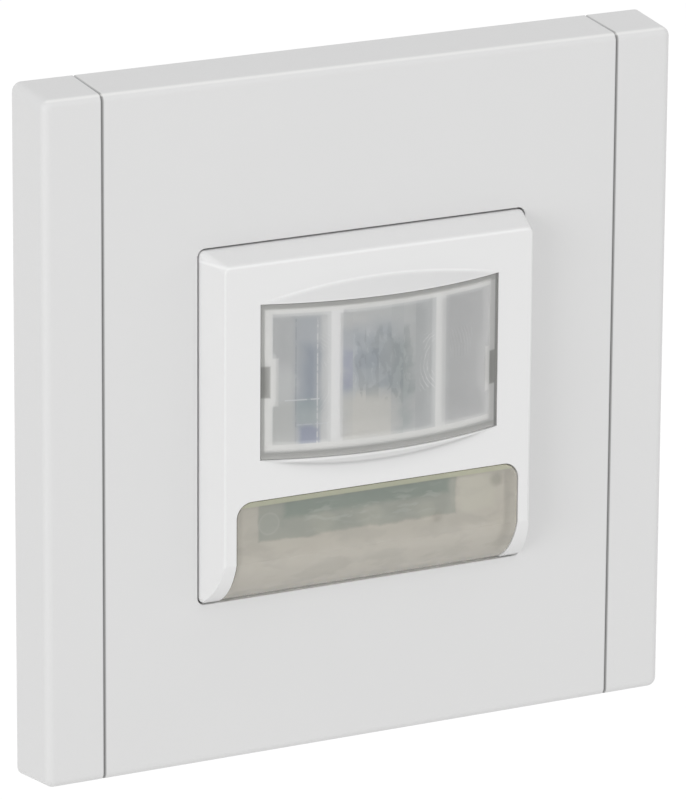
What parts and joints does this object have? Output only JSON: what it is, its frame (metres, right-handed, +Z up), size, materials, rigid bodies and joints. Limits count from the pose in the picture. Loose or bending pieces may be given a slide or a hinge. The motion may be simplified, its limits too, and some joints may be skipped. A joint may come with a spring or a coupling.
{
  "type": "motion sensor light switch",
  "caption": "Flush wall switch with a curved infrared motion sensor lens, a translucent override key and a wide white cover plate.",
  "frame": {"origin": "midway between the box screws, in the plane of the finished wall", "axes": "+X to the right seen from the room, +Z up, +Y into the wall"},
  "size_m": [0.0872, 0.0427, 0.0882],
  "materials": {
    "white_plastic": "satin moulded thermoplastic, white",
    "insert_plastic": "satin moulded thermoplastic, bright white",
    "milky_lens": "milky translucent polyethylene",
    "frame_plastic": "matt moulded thermoplastic, white",
    "smoked_key": "translucent grey moulded thermoplastic",
    "zinc_steel": "zinc-plated steel",
    "board_green": "solder-masked glass-fibre laminate",
    "sensor_can": "nickel-plated steel can",
    "filter_pane": "dark infrared filter, polished",
    "clear_lamp": "clear moulded epoxy",
    "black_plastic": "matt black moulded plastic",
    "dial_plastic": "matt off-white moulded plastic",
    "housing_plastic": "matt grey moulded plastic",
    "yellow_plastic": "yellow moulded plastic",
    "can_aluminium": "drawn aluminium can",
    "blue_coating": "dipped epoxy, blue",
    "fuse_ceramic": "fired ceramic tube with plated caps",
    "clamp_brass": "machined brass"
  },
  "bodies": {
    "switch": {"cover_plate": "white_plastic", "left_strip": "white_plastic", "right_strip": "white_plastic", "front_cover": "insert_plastic", "fresnel_lens": "milky_lens", "lens_frame": "frame_plastic", "carrier_frame": "frame_plastic", "support_frame": "zinc_steel", "sensor_board": "board_green", "pir_sensor": "sensor_can", "pir_window": "filter_pane", "light_sensor": "clear_lamp", "status_led": "clear_lamp", "time_trimmer": "black_plastic", "light_trimmer": "black_plastic", "switch_body": "black_plastic", "control_chip": "black_plastic", "board_header": "black_plastic", "rear_housing": "housing_plastic", "power_board": "board_green", "relay": "black_plastic", "film_capacitor": "yellow_plastic", "smoothing_capacitors": "can_aluminium", "varistor": "blue_coating", "fuse": "fuse_ceramic", "terminal_block": "housing_plastic", "terminal_clamps": "clamp_brass", "terminal_screws": "zinc_steel"},
    "key": {"override_key": "smoked_key"},
    "plunger": {"switch_plunger": "dial_plastic"},
    "time_rotor": {"time_dial": "dial_plastic"},
    "light_rotor": {"light_dial": "dial_plastic"}
  },
  "joints": [
    {"name": "key_pivot", "type": "hinge", "parent": "switch", "child": "key", "pos_m": [0, -0.0108, -0.01075], "axis": [1, 0, 0], "range_deg": [0, 3.5], "stiffness_Nm_per_rad": 0.15},
    {"name": "plunger_slide", "type": "slide", "parent": "switch", "child": "plunger", "axis": [0, 1, 0], "range_m": [0, 0.0003]},
    {"name": "time_turn", "type": "hinge", "parent": "switch", "child": "time_rotor", "pos_m": [-0.005, -0.008, -0.0146], "axis": [0, 1, 0], "range_deg": [-135, 135]},
    {"name": "light_turn", "type": "hinge", "parent": "switch", "child": "light_rotor", "pos_m": [0.0016, -0.008, -0.0146], "axis": [0, 1, 0], "range_deg": [-135, 135]}
  ],
  "couplings": [
    {"joint": "plunger_slide", "follows": "key_pivot", "m_per_rad": 0.00385}
  ]
}
